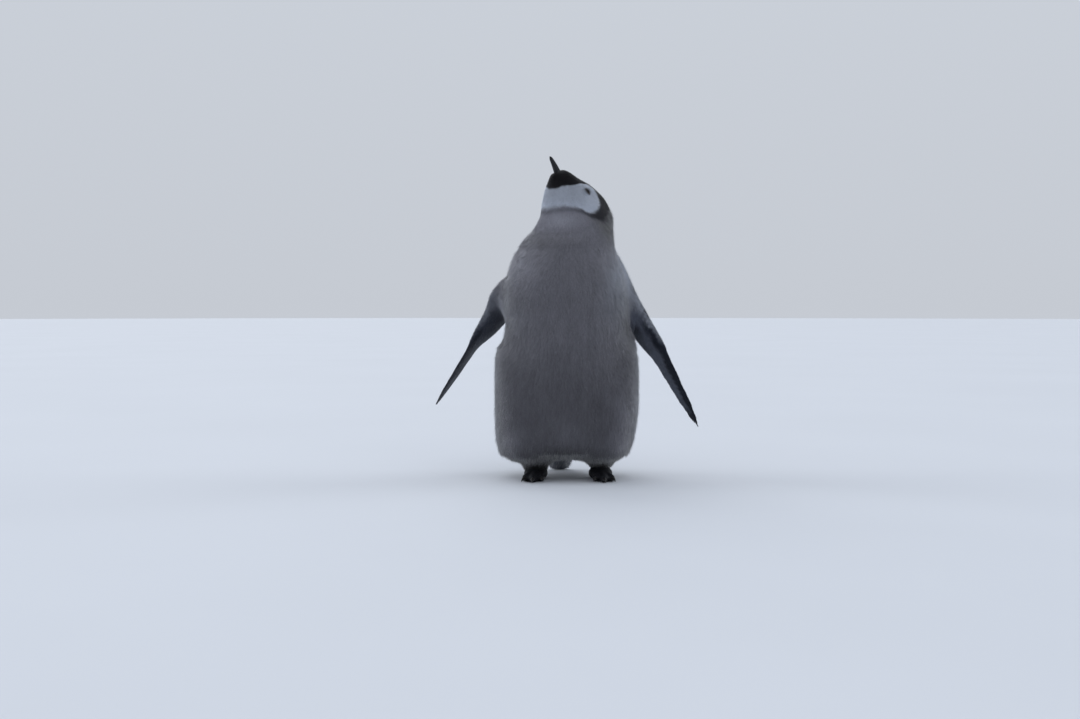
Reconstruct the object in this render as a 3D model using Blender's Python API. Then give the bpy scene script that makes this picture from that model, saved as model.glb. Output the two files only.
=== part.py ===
import math

import bpy
import bmesh
from mathutils import Quaternion, Vector

mm = 0.001

# the driving sizes of a well-grown emperor penguin chick, in metres
seamGap = 0.3 * mm          # clear space between neighbouring solids
hemHeight = 35 * mm         # underside of the belly down
chestStart = 250 * mm       # where belly gives way to chest, along the spine
neckStart = 420 * mm        # base of the neck, along the spine
headStart = 468 * mm        # base of the head, along the spine
headLength = 65 * mm        # middle of the head to the face around the bill
eyeRadius = 9 * mm
eyeAhead = 20 * mm          # each eye from the middle of the head
eyeAside = 42 * mm
billLength = 34 * mm        # bare part of the bill
billHalfWidth = 6.2 * mm
billUpperDepth = 8.2 * mm
billLowerDepth = 6.0 * mm
billHook = 2 * mm           # the upper half's droop, and its reach past the lower half
flipperLength = 324 * mm
flipperRoot = -24 * mm      # the arm starts this far inside the body
flipperTip = 323 * mm
wristPlace = 166 * mm       # where the flipper's down gives way to its bare-looking blade
twistStart = 110 * mm       # the flipper twists between these places
twistEnd = 200 * mm
toeLength = 66 * mm         # middle toe from the ankle, without its claw
clawLength = 15 * mm
clawThickness = 3.7 * mm
clawSeam = 1.2 * mm         # fold of skin between toe and claw
webBottom = 3.0 * mm        # the webs' underside and top
webTop = 7.6 * mm
padSize = Vector((21.5, 31, 13)) * mm       # the heel's rounded pad, half sizes
padShift = Vector((0, -7, 10)) * mm

# brings the middle of the whole outline, flippers included, over the origin
middleShift = Vector((3.9, -2.9, 0)) * mm

# the head looks up and over the bird's right shoulder
headCentre = Vector((11, -4, 490)) * mm
headYaw = math.radians(-45)
headPitch = math.radians(35)

# each ankle's place over the floor, how far the foot turns in degrees, and its trouser's hem in mm
footSpots = {
    "left": (Vector((60, -28, 0)) * mm, 4, 27),
    "right": (Vector((-55, -28, 0)) * mm, -5, 22),
}
mirrors = {"left": 1, "right": -1}
thighMiddle = Vector((0, -2, 0)) * mm
tailMiddle = -11 * mm
hemLean = -7 * mm           # how far the hips lean to the bird's right at the hem
leanTop = 120 * mm          # height where that lean ends

ringSides = 36

# height, side shift, half width, front, back: the coat's outline in mm
trunkProfile = [
    (35, -9, 72, 46, 62),
    (41, -9, 90, 78, 82),
    (54, -6, 103, 101, 98),
    (80, -3, 110, 114, 106),
    (130, -1, 112, 120, 110),
    (180, 0, 112, 119, 109),
    (230, 0, 110, 113, 104),
    (280, 0, 110, 106, 98),
    (320, 0, 110, 99, 92),
    (361, -2, 105, 90, 84),
    (390, -2, 96, 80, 77),
    (405, -1, 90, 75, 73),
]

# neck and head: distance past the head's middle, half width, throat, crown in mm
headProfile = [
    (-86, 90, 75, 73),
    (-64, 83, 71, 70),
    (-42, 73, 67, 67),
    (-22, 66, 63, 60),
    (0, 57, 55, 49),
    (18, 51, 49, 41),
    (32, 44, 42, 31.5),
    (43, 36, 35, 24),
    (52, 28, 28, 18.5),
    (60, 19, 19, 15),
    (65, 11.5, 11.5, 12),
]

# height, outward centre, half width, front, back in mm
thighProfile = [
    (30, 60, 25, 46, 44),
    (35, 63, 40, 66, 62),
    (42, 66, 48, 80, 74),
    (55, 68, 53, 92, 83),
    (93, 71, 56, 104, 92),
    (136, 73, 56, 106, 92),
    (165, 73, 56, 103, 89),
    (199, 74, 55, 92, 80),
    (230, 76, 49, 72, 64),
    (249, 79, 35, 48, 46),
    (259, 81, 18, 26, 26),
]

# distance along the flipper, leading edge, trailing edge, thickness in mm
flipperProfile = [
    (-24, 12, 30, 36),
    (20, 11, 46, 42),
    (60, 10, 52, 38),
    (100, 13, 50, 30),
    (140, 18, 42, 21),
    (162, 21, 36, 14),
    (190, 18, 26, 8.6),
    (230, 16, 21, 7.2),
    (262, 14.5, 17, 6),
    (290, 12, 11, 4.6),
    (312, 7, 5, 3),
    (323, 1.6, 1.2, 1.4),
]

# height, half width, half thickness and distance behind the bird's middle in mm
tailProfile = [
    (0, 26, 5, 99),
    (8, 27, 9, 96),
    (24, 32, 16, 86),
    (48, 40, 24, 70),
    (70, 44, 24, 60),
]

# height, outward centre, half width, front, back in mm
shankProfile = [(6, 0, 17, 19, 17), (20, 0, 15, 16, 15), (44, 0, 15, 16, 15)]

# each toe: degrees from straight ahead, share of the middle toe's length, radius in mm
toes = {
    "middle": (0, 1.0, 8.4),
    "outer": (15, 0.88, 7.9),
    "inner": (-16, 0.80, 7.6),
}
toePlaces = [0.0, 0.34, 0.62, 0.85, 1.0]    # ankle, knuckle, two pads and the claw's root
toeHeights = [13, 10, 7.4, 6.6, 5.4]        # of those places over the floor, in mm
toeSwell = [1.3, 1.2, 1.02, 0.94, 0.66]     # share of the toe's radius at those places
clawCourse = [(0, 0, 1.0), (0.5, -0.1, 0.8), (1.0, -3.4, 0.12)]     # reach, drop in mm, radius

# each flipper: shoulder, tip, and how far its arm and its blade turn from edge-on, in degrees
flipperPoses = {
    "left": (Vector((89, 2, 381)) * mm, Vector((236, 2, 92)) * mm, 40, 40),
    "right": (Vector((-79, 8, 378)) * mm, Vector((-244, 125, 121)) * mm, 50, 20),
}


def clearScene():
    for item in list(bpy.data.objects):
        bpy.data.objects.remove(item, do_unlink=True)


def makeCollection(name):
    group = bpy.data.collections.new(name)
    bpy.context.scene.collection.children.link(group)
    return group


clearScene()
birdParts = makeCollection("emperor_penguin_chick")
birdCutters = makeCollection("cutters")
birdBase = bpy.data.objects.new("bird_base", None)
birdBase.location = middleShift
birdParts.objects.link(birdBase)


def makeMaterial(name, colour, roughness, metallic=0.0):
    material = bpy.data.materials.new(name)
    material.use_nodes = True
    shader = material.node_tree.nodes["Principled BSDF"]
    shader.inputs["Base Color"].default_value = (*colour, 1)
    shader.inputs["Roughness"].default_value = roughness
    shader.inputs["Metallic"].default_value = metallic
    material.diffuse_color = (*colour, 1)
    return material


greyDown = makeMaterial("grey_down", (0.30, 0.31, 0.34), 0.95)
paleDown = makeMaterial("pale_down", (0.52, 0.54, 0.58), 0.95)
slateScale = makeMaterial("slate_flipper", (0.09, 0.11, 0.14), 0.7)
darkHorn = makeMaterial("dark_horn", (0.02, 0.02, 0.024), 0.35)
clawHorn = makeMaterial("claw_horn", (0.015, 0.014, 0.016), 0.3)
footSkin = makeMaterial("foot_skin", (0.03, 0.03, 0.036), 0.6)
eyeGlass = makeMaterial("eye_glass", (0.03, 0.018, 0.012), 0.08)


def addObject(name, mesh, material=None):
    # a piece of the bird, or a cutter when it has no material
    item = bpy.data.objects.new(name, mesh)
    item.parent = birdBase
    if material:
        birdParts.objects.link(item)
        item.data.materials.append(material)
    else:
        birdCutters.objects.link(item)
        item.hide_render = True
        item.display_type = "WIRE"
    return item


def smoothValue(keys, place, column):
    # a smooth curve through the keys, without overshoot between them
    last = len(keys) - 1
    if place <= keys[0][0]:
        return keys[0][column]
    if place >= keys[last][0]:
        return keys[last][column]
    index = 0
    while keys[index + 1][0] < place:
        index += 1

    def slope(at):
        if at <= 0 or at >= last:
            near = min(max(at, 1), last)
            return (keys[near][column] - keys[near - 1][column]) / (keys[near][0] - keys[near - 1][0])
        before = (keys[at][column] - keys[at - 1][column]) / (keys[at][0] - keys[at - 1][0])
        after = (keys[at + 1][column] - keys[at][column]) / (keys[at + 1][0] - keys[at][0])
        if before * after <= 0:
            return 0
        return 2 * before * after / (before + after)

    start, end = keys[index], keys[index + 1]
    span = end[0] - start[0]
    t = (place - start[0]) / span
    rise = end[column] - start[column]
    first = slope(index) * span
    second = slope(index + 1) * span
    bend = first + second - 2 * rise
    return start[column] + first * t + (3 * rise - 2 * first - second) * t * t + bend * t ** 3


def superPoint(angle, wide, high, power):
    # a point of a rounded oval: power 2 is an ellipse, more is squarer
    across, up = math.cos(angle), math.sin(angle)
    return (math.copysign(wide * abs(across) ** (2 / power), across),
            math.copysign(high * abs(up) ** (2 / power), up))


def loftMesh(name, rings):
    # a closed skin over equal rings of points, with a flat cap at each end
    mesh = bpy.data.meshes.new(name)
    form = bmesh.new()
    loops = [[form.verts.new(point) for point in ring] for ring in rings]
    sides = len(rings[0])
    for lower, upper in zip(loops, loops[1:]):
        for i in range(sides):
            j = (i + 1) % sides
            form.faces.new((lower[i], lower[j], upper[j], upper[i]))
    form.faces.new(list(reversed(loops[0])))
    form.faces.new(loops[-1])
    bmesh.ops.recalc_face_normals(form, faces=form.faces)
    form.to_mesh(mesh)
    form.free()
    for face in mesh.polygons:
        face.use_smooth = len(face.vertices) == 4
    return mesh


headTurn = Quaternion((0, 0, 1), headYaw) @ Quaternion((1, 0, 0), headPitch)
headAim = headTurn @ Vector((0, 0, 1))
headSide = headTurn @ Vector((1, 0, 0))
headCrown = headTurn @ Vector((0, 1, 0))

trunkTop = trunkProfile[-1][0] * mm
neckBottom = Vector((trunkProfile[-1][1] * mm, 0, trunkTop))
neckReach = (headCentre - neckBottom).length
neckLean = Vector((0.24, 0.05, 1)) * neckReach
napePull = 1.1 * neckReach
spineEnd = trunkTop + neckReach + headLength


def spinePlace(along):
    # the spine rises straight through the trunk, bends in the neck and follows the bill
    if along <= trunkTop:
        shift = smoothValue(trunkProfile, along / mm, 1) * mm
        return Vector((shift, 0, along)), Quaternion()
    if along >= trunkTop + neckReach:
        past = along - trunkTop - neckReach
        return headCentre + headAim * past, headTurn
    t = (along - trunkTop) / neckReach
    start = (2 * t ** 3 - 3 * t * t + 1) * neckBottom + (t ** 3 - 2 * t * t + t) * neckLean
    end = (3 * t * t - 2 * t ** 3) * headCentre + (t ** 3 - t * t) * napePull * headAim
    return start + end, Quaternion().slerp(headTurn, t * t * (3 - 2 * t))


def spineSizes(along):
    # half width, front and back of the coat at one place of the spine
    if along <= trunkTop:
        return [smoothValue(trunkProfile, along / mm, column) * mm for column in (2, 3, 4)]
    past = (along - trunkTop - neckReach) / mm
    return [smoothValue(headProfile, past, column) * mm for column in (1, 2, 3)]


def spineRing(along, grow=0.0):
    place, turn = spinePlace(along)
    wide, front, back = spineSizes(along)
    ring = []
    for i in range(ringSides):
        angle = 2 * math.pi * i / ringSides
        high = back if math.sin(angle) > 0 else front
        x, y = superPoint(angle, wide + grow, high + grow, 2.15)
        ring.append(place + turn @ Vector((x, y, 0)))
    return ring


def spinePart(name, start, end, steps, material, grow=0.0):
    places = [start + (end - start) * i / steps for i in range(steps + 1)]
    places[0] -= grow
    places[-1] += grow
    rings = [spineRing(along, grow) for along in places]
    return addObject(name, loftMesh(name, rings), material)


def ovalPart(name, profile, steps, place, power, sides, material, grow=0.0, outward=0):
    # a loft of level rings: height, outward centre, half width, front, back
    # a form that bulges outward also leans with the hips, and a form without material is a cutter
    bottom, top = profile[0][0] * mm, profile[-1][0] * mm
    rings = []
    for i in range(steps + 1):
        share = 0.5 - 0.5 * math.cos(math.pi * i / steps)
        height = bottom + (top - bottom) * share
        centre, wide, front, back = [smoothValue(profile, height / mm, c) * mm for c in (1, 2, 3, 4)]
        lean = hemLean * max(0, 1 - height / leanTop) * abs(outward)
        if i in (0, steps):
            height += grow if i else -grow
        ring = []
        for k in range(sides):
            angle = 2 * math.pi * k / sides
            deep = back if math.sin(angle) > 0 else front
            x, y = superPoint(angle, wide + grow, deep + grow, power)
            ring.append(Vector((place.x + outward * centre + x + lean, place.y + y, height)))
        rings.append(ring)
    return addObject(name, loftMesh(name, rings), material)


def cutWith(item, cutters):
    for cutter in cutters:
        trim = item.modifiers.new("fit_to_" + cutter.name, "BOOLEAN")
        trim.operation = "DIFFERENCE"
        trim.solver = "EXACT"
        trim.object = cutter


def joinWith(item, others):
    for other in others:
        weld = item.modifiers.new("join_" + other.name, "BOOLEAN")
        weld.operation = "UNION"
        weld.solver = "EXACT"
        weld.object = other


def makeThigh(side):
    # the downy flank that bulges over the thigh, and the room it takes
    mirror = mirrors[side]
    ovalPart("thigh_" + side, thighProfile, 11, thighMiddle, 2.3, 24, greyDown, 0, mirror)
    return ovalPart("thigh_room_" + side, thighProfile, 11, thighMiddle, 2.3, 24, None, seamGap, mirror)


def makeTrunk(thighRooms):
    # belly and chest, and the room that each takes from what grows out of them
    rooms = []
    for name, start, end, steps in (("belly", hemHeight, chestStart, 11),
                                    ("chest", chestStart + seamGap, neckStart, 8)):
        cutWith(spinePart(name, start, end, steps, greyDown), thighRooms)
        rooms.append(spinePart(name + "_room", start, end, steps, None, seamGap))
    return rooms


def makeNeck():
    spinePart("neck", neckStart + seamGap, headStart, 4, greyDown)


def makeHead(eyeRooms):
    head = spinePart("head", headStart + seamGap, spineEnd, 13, paleDown)
    cutWith(head, eyeRooms)


def ballMesh(name, segments, bands, radius):
    mesh = bpy.data.meshes.new(name)
    form = bmesh.new()
    bmesh.ops.create_uvsphere(form, u_segments=segments, v_segments=bands, radius=radius)
    form.to_mesh(mesh)
    form.free()
    return mesh


def makeEye(side):
    # a ball that looks out sideways, and the room it takes from the head
    outward = headSide * mirrors[side]
    ball = addObject("eye_" + side, ballMesh("eye", 14, 7, eyeRadius), eyeGlass)
    room = addObject("eye_room_" + side, ballMesh("eye_room", 14, 7, eyeRadius + seamGap))
    for item in (ball, room):
        item.location = headCentre + headAim * eyeAhead + outward * eyeAside
        item.rotation_mode = "QUATERNION"
        item.rotation_quaternion = outward.to_track_quat("Z", "Y")
    return room


def billPlace(past):
    # the bill's middle line droops a little towards its tip
    droop = billHook * (past / billLength) ** 2.2
    return headCentre + headAim * (headLength + seamGap + past) - headCrown * droop


def makeBillHalf(name, upward, reach, depth, thinning):
    # a half oval across the bill, flat where the halves meet, that tapers towards the tip
    steps = 9
    arcSteps = 11
    rings = []
    for i in range(steps + 1):
        share = i / steps
        wide = billHalfWidth * (1 - 0.78 * share ** 1.3)
        tall = depth * (1 - thinning * share ** 1.25)
        ring = []
        for k in range(arcSteps + 1):
            angle = math.pi * k / arcSteps
            rise = tall * max(math.sin(angle), 0) ** 0.8 if 0 < k < arcSteps else 0
            point = billPlace(reach * share) + headSide * wide * math.cos(angle)
            ring.append(point + headCrown * upward * (rise + seamGap / 2))
        rings.append(ring)
    addObject(name, loftMesh(name, rings), darkHorn)


def flipperFrame(side, along):
    # directions along the flipper and across it, from trailing to leading edge
    shoulder, tip, armTurn, bladeTurn = flipperPoses[side]
    span = (tip - shoulder).normalized()
    edge = Vector((0, -1, 0))
    edge = (edge - span * edge.dot(span)).normalized()
    flat = span.cross(edge) * mirrors[side]
    share = min(max((along - twistStart) / (twistEnd - twistStart), 0), 1)
    turn = math.radians(armTurn + (bladeTurn - armTurn) * share * share * (3 - 2 * share))
    blade = edge * math.cos(turn) - flat * math.sin(turn)
    return shoulder, span, blade.normalized(), (tip - shoulder).length


def flipperRings(side, start, end, steps, sides=14):
    rings = []
    for i in range(steps + 1):
        along = start + (end - start) * i / steps
        shoulder, span, blade, reach = flipperFrame(side, along)
        normal = span.cross(blade)
        stretch = reach / flipperLength
        lead, trail, thick = [smoothValue(flipperProfile, along / mm, c) * mm for c in (1, 2, 3)]
        centre = (lead - trail) / 2
        ring = []
        for k in range(sides):
            angle = 2 * math.pi * k / sides
            x, y = superPoint(angle, (lead + trail) / 2, thick / 2, 2)
            point = shoulder + span * along * stretch + blade * (centre + x) + normal * y
            ring.append(point)
        rings.append(ring)
    return rings


def makeFlipper(side, bodyRooms):
    armRings = flipperRings(side, flipperRoot, wristPlace, 10)
    bladeRings = flipperRings(side, wristPlace + seamGap, flipperTip, 12)
    arm = addObject("flipper_arm_" + side, loftMesh("arm", armRings), greyDown)
    addObject("flipper_blade_" + side, loftMesh("blade", bladeRings), slateScale)
    cutWith(arm, bodyRooms)


def makeTail(bodyRooms):
    # stiff short feathers under down, whose end rests on the floor
    steps = 8
    sides = 20
    rings = []
    for i in range(steps + 1):
        height = tailProfile[-1][0] * i / steps
        wide, thick, behind = [smoothValue(tailProfile, height, c) * mm for c in (1, 2, 3)]
        ring = []
        for k in range(sides):
            x, y = superPoint(2 * math.pi * k / sides, wide, thick, 2.3)
            ring.append(Vector((tailMiddle + x, behind + y, height * mm)))
        rings.append(ring)
    tail = addObject("tail", loftMesh("tail", rings), greyDown)
    cutWith(tail, bodyRooms)


def makeLeg(side, bodyRooms):
    # the short shank inside its trouser of down
    ankle, turn, hem = footSpots[side]
    keys = [(hem, 0, 22, 24, 26), (hem + 9, 0, 26, 28, 30), (66, 0, 34, 40, 40)]
    part = ovalPart("leg_" + side, keys, 5, ankle, 2.2, 18, greyDown)
    room = ovalPart("leg_room_" + side, keys, 5, ankle, 2.2, 18, None, seamGap)
    cutWith(part, bodyRooms)
    return room


def tubeMesh(name, points, depth, radii, resolution=2):
    # a smooth tube whose radius changes along it, as a closed mesh
    curve = bpy.data.curves.new(name, "CURVE")
    curve.dimensions = "3D"
    curve.bevel_depth = depth
    curve.bevel_resolution = resolution
    curve.use_fill_caps = True
    curve.resolution_u = 2
    spline = curve.splines.new("BEZIER")
    spline.bezier_points.add(len(points) - 1)
    for knot, point, radius in zip(spline.bezier_points, points, radii):
        knot.co = point
        knot.radius = radius
        knot.handle_left_type = "AUTO"
        knot.handle_right_type = "AUTO"
    holder = bpy.data.objects.new(name, curve)
    bpy.context.scene.collection.objects.link(holder)
    bpy.context.view_layer.update()
    view = bpy.context.evaluated_depsgraph_get()
    mesh = bpy.data.meshes.new_from_object(holder.evaluated_get(view))
    bpy.data.objects.remove(holder, do_unlink=True)
    form = bmesh.new()
    form.from_mesh(mesh)
    bmesh.ops.remove_doubles(form, verts=form.verts, dist=0.02 * mm)
    bmesh.ops.recalc_face_normals(form, faces=form.faces)
    form.to_mesh(mesh)
    form.free()
    return mesh


def toeAhead(side, name):
    heading = math.radians(footSpots[side][1] + mirrors[side] * toes[name][0])
    return Vector((math.sin(heading), -math.cos(heading), 0))


def toeCourse(side, name):
    # the toe's middle line, from the ankle to the root of the claw
    ankle = footSpots[side][0]
    reach = toeAhead(side, name) * toeLength * toes[name][1]
    return [ankle + reach * share + Vector((0, 0, height * mm))
            for share, height in zip(toePlaces, toeHeights)]


def makeFoot(side, rooms):
    # heel, shank, toes and webs as one piece of skin, cut flat by the floor
    ankle, turn, hem = footSpots[side]
    pad = addObject("foot_" + side, ballMesh("foot", 16, 9, 1), footSkin)
    pad.scale = padSize
    pad.location = ankle + padShift
    pad.rotation_euler = (0, 0, math.radians(turn))
    parts = [ovalPart("shank_" + side, shankProfile, 4, ankle, 2.1, 14, None)]
    for name in toes:
        mesh = tubeMesh("toe_" + name, toeCourse(side, name), toes[name][2] * mm, toeSwell)
        parts.append(addObject("toe_" + name + "_" + side, mesh))
    parts.append(makeWeb(side, "inner", "middle"))
    parts.append(makeWeb(side, "middle", "outer"))
    joinWith(pad, parts)
    cutWith(pad, [makeFloorRoom(side)] + rooms)


def makeFloorRoom(side):
    depth = 300 * mm
    mesh = bpy.data.meshes.new("floor_room")
    form = bmesh.new()
    bmesh.ops.create_cube(form, size=depth)
    form.to_mesh(mesh)
    form.free()
    block = addObject("floor_room_" + side, mesh)
    block.location = footSpots[side][0] - Vector((0, 0, depth / 2))
    return block


def makeWeb(side, first, second):
    # skin between two toes, hollowed a little at its front edge
    one = toeCourse(side, first)
    two = toeCourse(side, second)
    notch = (one[3] + two[3]) / 2 - (one[-1] - one[0]) * 0.12
    form = bmesh.new()
    corners = [form.verts.new((p.x, p.y, webBottom)) for p in (one[0], one[3], notch, two[3], two[0])]
    sole = form.faces.new(corners)
    raised = bmesh.ops.extrude_face_region(form, geom=[sole], use_keep_orig=True)["geom"]
    top = [item for item in raised if isinstance(item, bmesh.types.BMVert)]
    bmesh.ops.translate(form, verts=top, vec=(0, 0, webTop - webBottom))
    bmesh.ops.recalc_face_normals(form, faces=form.faces)
    mesh = bpy.data.meshes.new("web")
    form.to_mesh(mesh)
    form.free()
    return addObject("web_" + first + "_" + side, mesh)


def makeClaw(side, name):
    # a slightly hooked nail that carries on from its toe
    ahead = toeAhead(side, name)
    root = toeCourse(side, name)[-1] + ahead * clawSeam
    length = clawLength * toes[name][1]
    points = [root + ahead * length * reach + Vector((0, 0, drop * mm)) for reach, drop, swell in clawCourse]
    mesh = tubeMesh("claw", points, clawThickness, [swell for reach, drop, swell in clawCourse], 1)
    addObject("claw_" + name + "_" + side, mesh, clawHorn)


thighRooms = [makeThigh(side) for side in mirrors]
bodyRooms = makeTrunk(thighRooms) + thighRooms
makeNeck()
makeHead([makeEye(side) for side in mirrors])
makeBillHalf("bill_upper", 1, billLength, billUpperDepth, 0.76)
makeBillHalf("bill_lower", -1, billLength - billHook, billLowerDepth, 0.84)
for side in mirrors:
    makeFlipper(side, bodyRooms)
    legRoom = makeLeg(side, bodyRooms)
    makeFoot(side, [legRoom] + bodyRooms)
    for name in toes:
        makeClaw(side, name)
makeTail(bodyRooms)
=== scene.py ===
import math

import bmesh
import bpy
import numpy as np
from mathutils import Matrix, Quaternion, Vector
from mathutils.bvhtree import BVHTree
from mathutils.kdtree import KDTree


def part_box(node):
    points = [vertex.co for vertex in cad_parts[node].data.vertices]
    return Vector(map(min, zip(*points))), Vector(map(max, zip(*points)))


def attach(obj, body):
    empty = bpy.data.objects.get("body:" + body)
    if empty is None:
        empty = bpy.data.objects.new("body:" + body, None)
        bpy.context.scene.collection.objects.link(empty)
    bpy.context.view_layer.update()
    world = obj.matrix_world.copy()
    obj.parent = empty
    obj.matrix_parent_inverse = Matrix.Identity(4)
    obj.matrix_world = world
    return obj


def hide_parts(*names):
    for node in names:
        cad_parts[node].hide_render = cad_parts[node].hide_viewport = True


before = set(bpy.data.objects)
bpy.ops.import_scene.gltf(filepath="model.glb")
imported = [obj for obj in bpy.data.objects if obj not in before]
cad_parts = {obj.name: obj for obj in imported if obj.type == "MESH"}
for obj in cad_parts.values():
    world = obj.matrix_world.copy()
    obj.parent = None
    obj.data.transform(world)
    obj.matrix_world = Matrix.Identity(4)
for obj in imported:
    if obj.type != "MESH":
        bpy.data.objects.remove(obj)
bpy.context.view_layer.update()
mm = 0.001
sides = {"left": 1, "right": -1}
print("frame loaded")


# small helpers for arrays of points

def unit(rows):
    return rows / np.maximum(np.linalg.norm(rows, axis=-1, keepdims=True), 1e-9)


def ramp(values, low, high):
    share = np.clip((values - low) / (high - low), 0, 1)
    return share * share * (3 - 2 * share)


def dot(first, second):
    return (first * second).sum(-1, keepdims=True)


def waves(points, size, seed, count=9):
    # soft random hills, about `size` metres apart, mostly between -1 and 1
    chance = np.random.default_rng(seed)
    aims = unit(chance.normal(size=(count, 3))) * chance.uniform(0.7, 1.5, (count, 1))
    phases = chance.uniform(0, 2 * math.pi, count)
    return np.sin(points @ aims.T * 2 * math.pi / size + phases).sum(1) * math.sqrt(1.4 / count)


def anglesRound(count):
    return np.linspace(0, 2 * math.pi, count, endpoint=False)


def nearTo(points, middle, reach, power=2):
    # 1 at a place, fading to 0 around it
    return np.exp(-(np.linalg.norm(points - np.array(middle), axis=1) / reach) ** power)


def nodeMiddle(name):
    low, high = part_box(name)
    return np.array((low + high) / 2)


def solidPoints(name):
    return np.array([v.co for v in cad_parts[name].data.vertices])


def linked(name, data):
    made = bpy.data.objects.new(name, data)
    bpy.context.scene.collection.objects.link(made)
    return made


def meshFromForm(name, form):
    mesh = bpy.data.meshes.new(name)
    form.to_mesh(mesh)
    form.free()
    return mesh


# camera, floor and light

cameraSettings = {
    "place": (-0.0438, -2.4329, 0.309),
    "pitch": -2.31,             # degrees below level
    "lens": 45,
    "sensor": 36,
}


def makeCamera():
    data = bpy.data.cameras.new("camera")
    data.lens = cameraSettings["lens"]
    data.sensor_width = cameraSettings["sensor"]
    data.clip_start = 0.05
    data.clip_end = 100
    camera = linked("camera", data)
    camera.location = cameraSettings["place"]
    camera.rotation_euler = (math.radians(90 + cameraSettings["pitch"]), 0, 0)
    bpy.context.scene.camera = camera


makeCamera()

floorSettings = {
    "radius": 30.0,
    "colour": (0.58, 0.60, 0.64),
    "mottle": 0.03,             # how much the floor's tone wanders
    "mottleScale": 1.4,
}
lightSettings = {
    # way the light comes from, softness in degrees, strength, colour
    "backSky": ((-0.35, 1.0, 0.75), 50, 0.9, (0.95, 0.97, 1.0)),
    "rimRight": ((1.0, 0.30, 0.40), 36, 0.75, (0.92, 0.96, 1.0)),
    "rimLeft": ((-1.0, 0.22, 0.40), 36, 1.05, (0.92, 0.96, 1.0)),
    "frontFill": ((0.3, -1.0, 0.9), 60, 0.3, (1.0, 0.98, 0.97)),
}
worldSettings = {
    "low": (0.72, 0.76, 0.83),
    "high": (0.80, 0.86, 0.95),
    "strength": 0.78,
}


def linkNode(tree, kind, inputs=(), **values):
    # a node with its own properties set, and its inputs linked or given by name
    node = tree.nodes.new(kind)
    node.location = (200 * (len(tree.nodes) % 8), -220 * (len(tree.nodes) // 8))
    for name, value in values.items():
        setattr(node, name, value)
    for name, value in dict(inputs).items():
        socket = node.inputs[name]
        if isinstance(value, bpy.types.NodeSocket):
            tree.links.new(value, socket)
        else:
            socket.default_value = (*value, 1.0) if socket.type == "RGBA" else value
    return node


def feed(shader, socket, source):
    shader.id_data.links.new(source, shader.inputs[socket])


def objectPlace(tree):
    return linkNode(tree, "ShaderNodeTexCoord").outputs["Object"]


def noiseAt(tree, scale, detail):
    inputs = {"Vector": objectPlace(tree), "Scale": scale, "Detail": detail}
    return linkNode(tree, "ShaderNodeTexNoise", inputs).outputs["Fac"]


def markAt(tree, name):
    return linkNode(tree, "ShaderNodeAttribute", attribute_name=name).outputs["Fac"]


def maths(tree, operation, *values):
    return linkNode(tree, "ShaderNodeMath", dict(enumerate(values)), operation=operation).outputs["Value"]


def scaled(tree, vector, factor):
    inputs = {0: vector, "Scale": factor}
    return linkNode(tree, "ShaderNodeVectorMath", inputs, operation="SCALE").outputs["Vector"]


def remapped(tree, value, fromRange=(0, 1), toRange=(0, 1), way="LINEAR"):
    inputs = {"Value": value, "From Min": fromRange[0], "From Max": fromRange[1],
              "To Min": toRange[0], "To Max": toRange[1]}
    return linkNode(tree, "ShaderNodeMapRange", inputs, interpolation_type=way).outputs["Result"]


def mixed(tree, first, second, share, kind="RGBA"):
    inputs = {"Factor": share, "A": first, "B": second}
    return linkNode(tree, "ShaderNodeMix", inputs, data_type=kind).outputs["Result"]


def makeMaterial(name, **settings):
    material = bpy.data.materials.new(name)
    material.use_nodes = True
    shader = material.node_tree.nodes["Principled BSDF"]
    for socket, value in settings.items():
        shader.inputs[socket.replace("_", " ")].default_value = value
    return material, material.node_tree, shader


def makeFloor():
    form = bmesh.new()
    bmesh.ops.create_circle(form, cap_ends=True, cap_tris=False, segments=96, radius=floorSettings["radius"])
    mesh = meshFromForm("floor", form)
    material, tree, shader = makeMaterial("studioFloor", Roughness=0.85)
    swing = floorSettings["mottle"]
    tone = remapped(tree, noiseAt(tree, floorSettings["mottleScale"], 3.0), toRange=(1 - swing, 1 + swing))
    feed(shader, "Base Color", scaled(tree, floorSettings["colour"], tone))
    mesh.materials.append(material)
    linked("floor", mesh)


def makeLights():
    for name, (source, softness, strength, tint) in lightSettings.items():
        data = bpy.data.lights.new(name, "SUN")
        data.angle = math.radians(softness)
        data.energy = strength
        data.color = tint
        lamp = linked(name, data)
        lamp.location = Vector(source) * 3
        lamp.rotation_mode = "QUATERNION"
        lamp.rotation_quaternion = Vector(source).to_track_quat("Z", "Y")


def makeWorld():
    world = bpy.data.worlds.new("studio")
    world.use_nodes = True
    tree = world.node_tree
    background = tree.nodes["Background"]
    place = linkNode(tree, "ShaderNodeTexCoord").outputs["Generated"]
    height = linkNode(tree, "ShaderNodeSeparateXYZ", {"Vector": place}).outputs["Z"]
    rise = remapped(tree, height, (0.0, 0.5))
    feed(background, "Color", mixed(tree, worldSettings["low"], worldSettings["high"], rise))
    background.inputs["Strength"].default_value = worldSettings["strength"]
    bpy.context.scene.world = world


makeFloor()
makeLights()
makeWorld()
bpy.context.scene.view_settings.view_transform = "Standard"
print("camera, floor and light made")


# where the head and the flippers are

headPose = {"yaw": -45, "pitch": 35, "eyeAhead": 20 * mm}
headTurn = (Quaternion((0, 0, 1), math.radians(headPose["yaw"]))
            @ Quaternion((1, 0, 0), math.radians(headPose["pitch"])))
headAxes = np.array([headTurn @ Vector(axis) for axis in ((0, 0, 1), (1, 0, 0), (0, 1, 0))])
eyeMiddles = {side: nodeMiddle("eye_" + side) for side in sides}
headCentre = (eyeMiddles["left"] + eyeMiddles["right"]) / 2 - headAxes[0] * headPose["eyeAhead"]


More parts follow.
